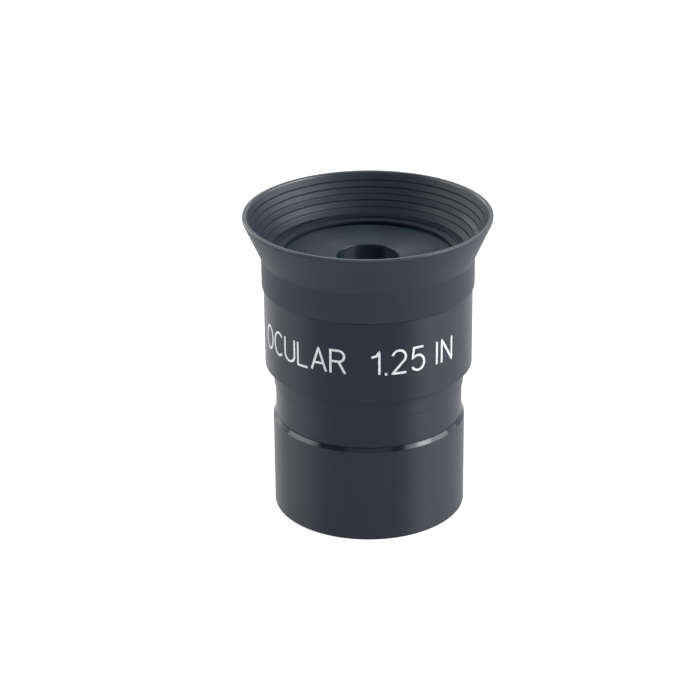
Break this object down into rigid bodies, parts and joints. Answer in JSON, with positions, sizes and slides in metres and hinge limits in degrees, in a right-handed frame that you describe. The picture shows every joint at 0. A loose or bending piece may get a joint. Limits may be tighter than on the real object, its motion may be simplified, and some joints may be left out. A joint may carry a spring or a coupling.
{
  "type": "telescope eyepiece",
  "caption": "Short black telescope eyepiece: a straight push-in barrel, a wider body and a flared rubber eyecup, with cemented lenses inside.",
  "frame": {"origin": "centre of the foot of the push-in barrel", "axes": "+Z along the optical axis from the telescope towards the eye; X and Y are equal"},
  "size_m": [0.0404, 0.0404, 0.0509],
  "materials": {
    "eyecup_rubber": "matt moulded black rubber with a faint grain",
    "black_anodised": "satin black anodised aluminium with fine turning marks and a polished chamfer",
    "cell_black": "satin black anodised aluminium, turned face",
    "ring_black": "matt black anodised aluminium",
    "lens_glass": "coated optical glass"
  },
  "bodies": {
    "housing": {"housing": "black_anodised", "lens_cell": "cell_black", "eye_lens_flint": "lens_glass", "eye_lens_crown": "lens_glass", "lens_spacer": "ring_black", "field_lens_crown": "lens_glass", "field_lens_flint": "lens_glass", "retaining_ring": "ring_black", "cell_lock_ring": "ring_black"},
    "eyecup": {"eyecup": "eyecup_rubber"},
    "field_stop": {"field_stop": "ring_black"},
    "nosepiece": {"nosepiece": "black_anodised"}
  },
  "joints": [
    {"name": "eyecup_pull", "type": "slide", "parent": "housing", "child": "eyecup", "axis": [0, 0, 1], "range_m": [0, 0.012]},
    {"name": "nosepiece_lead", "type": "slide", "parent": "housing", "child": "field_stop", "axis": [0, 0, -1], "range_m": [0, 0.0045]},
    {"name": "nosepiece_turn", "type": "hinge", "parent": "field_stop", "child": "nosepiece", "pos_m": [0, 0, 0.008], "axis": [0, 0, -1], "range_deg": [0, 2160]}
  ],
  "couplings": [
    {"joint": "nosepiece_lead", "follows": "nosepiece_turn", "m_per_rad": 0.00011937}
  ]
}
